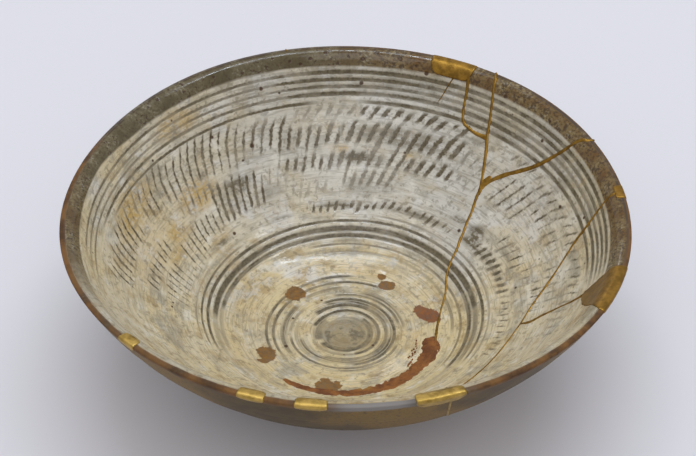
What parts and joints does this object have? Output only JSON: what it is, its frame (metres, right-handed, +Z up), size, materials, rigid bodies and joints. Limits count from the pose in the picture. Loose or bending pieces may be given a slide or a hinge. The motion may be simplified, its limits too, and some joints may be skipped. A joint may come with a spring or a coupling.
{
  "type": "kintsugi bowl",
  "caption": "Shallow stoneware tea bowl, inside inlaid with rings and rows of strokes in pale slip, its broken rim rejoined and filled with gold lacquer.",
  "frame": {"origin": "on the surface the bowl stands on, under the middle of its foot ring", "axes": "+Z up through the open mouth; the large gold fill is towards +X, the small back sherds towards +X +Y"},
  "size_m": [0.1499, 0.1491, 0.053],
  "materials": {
    "stoneware": "clear glossy glaze over pale slip inlaid in grey stoneware",
    "gold_lacquer": "burnished gold powder on lacquer",
    "red_lacquer": "red-brown lacquer, its gold worn away"
  },
  "bodies": {
    "root": {"bowl_body": "stoneware", "rim_sherd_back_small": "stoneware", "rim_sherd_back": "stoneware", "rim_sherd_right": "stoneware", "rim_sherd_front_right": "stoneware", "gold_seams_back": "gold_lacquer", "gold_seams_right": "gold_lacquer", "gold_rim_fill_back": "gold_lacquer", "gold_rim_fill_right": "gold_lacquer", "gold_rim_fill_right_large": "gold_lacquer", "gold_rim_fill_front_right": "gold_lacquer", "gold_rim_fill_front": "gold_lacquer", "gold_rim_fill_front_left": "gold_lacquer", "gold_rim_fill_left": "gold_lacquer", "red_lacquer_stroke": "red_lacquer"}
  },
  "joints": []
}
